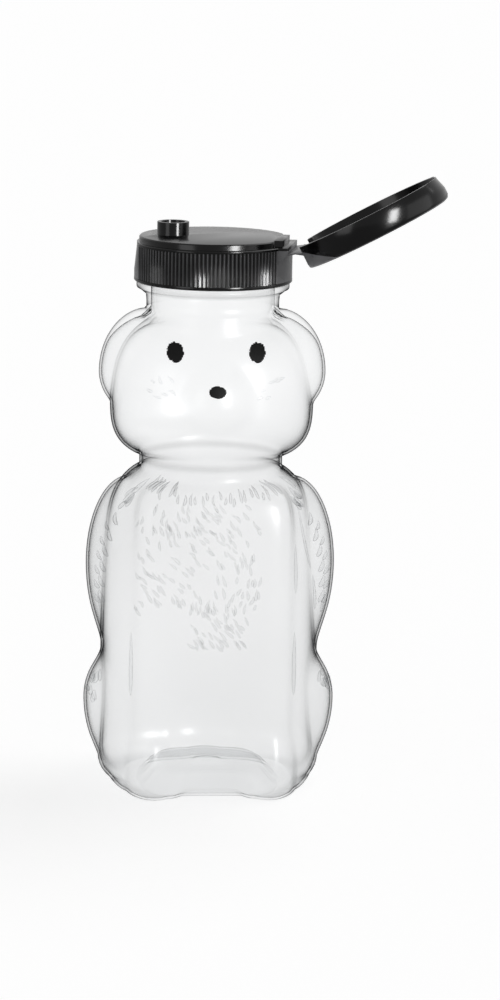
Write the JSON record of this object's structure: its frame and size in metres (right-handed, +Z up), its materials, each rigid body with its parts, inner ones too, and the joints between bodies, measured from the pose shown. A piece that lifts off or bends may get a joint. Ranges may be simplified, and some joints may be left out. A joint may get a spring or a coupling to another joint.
{
  "type": "squeeze bottle",
  "caption": "Clear bear-shaped squeeze bottle with a screw cap, an off-centre pouring spout and a hinged snap lid that stands open.",
  "frame": {"origin": "on the neck's axis, in the plane that the bottle stands on", "axes": "+Z up along the neck's axis, -Y towards the bear's face, +X towards the bear's left hand, where the lid opens"},
  "size_m": [0.0938, 0.0576, 0.1637],
  "materials": {
    "clear_pet": "clear, glossy",
    "ink": "screen print",
    "foam": "matte",
    "black_pp": "glossy"
  },
  "bodies": {
    "bottle": {"bottle": "clear_pet", "left_eye": "ink", "right_eye": "ink", "nose": "ink"},
    "seal": {"seal_ring": "foam"},
    "cap": {"cap": "black_pp", "hinge_strap": "black_pp"},
    "lid": {"lid": "black_pp"}
  },
  "joints": [
    {"name": "cap_lift", "type": "slide", "parent": "bottle", "child": "seal", "axis": [0, 0, 1], "range_m": [0, 0.00471]},
    {"name": "cap_turn", "type": "hinge", "parent": "seal", "child": "cap", "pos_m": [0, 0, 0.1449], "axis": [0, 0, 1], "range_deg": [0, 400]},
    {"name": "lid_hinge", "type": "hinge", "parent": "cap", "child": "lid", "pos_m": [0.02083, -0.00443, 0.14472], "axis": [0.2079, 0.9781, 0], "range_deg": [-152, 23], "deforming": ["hinge_strap"]}
  ],
  "couplings": [
    {"joint": "cap_lift", "follows": "cap_turn", "m_per_rad": 0.0006737}
  ]
}
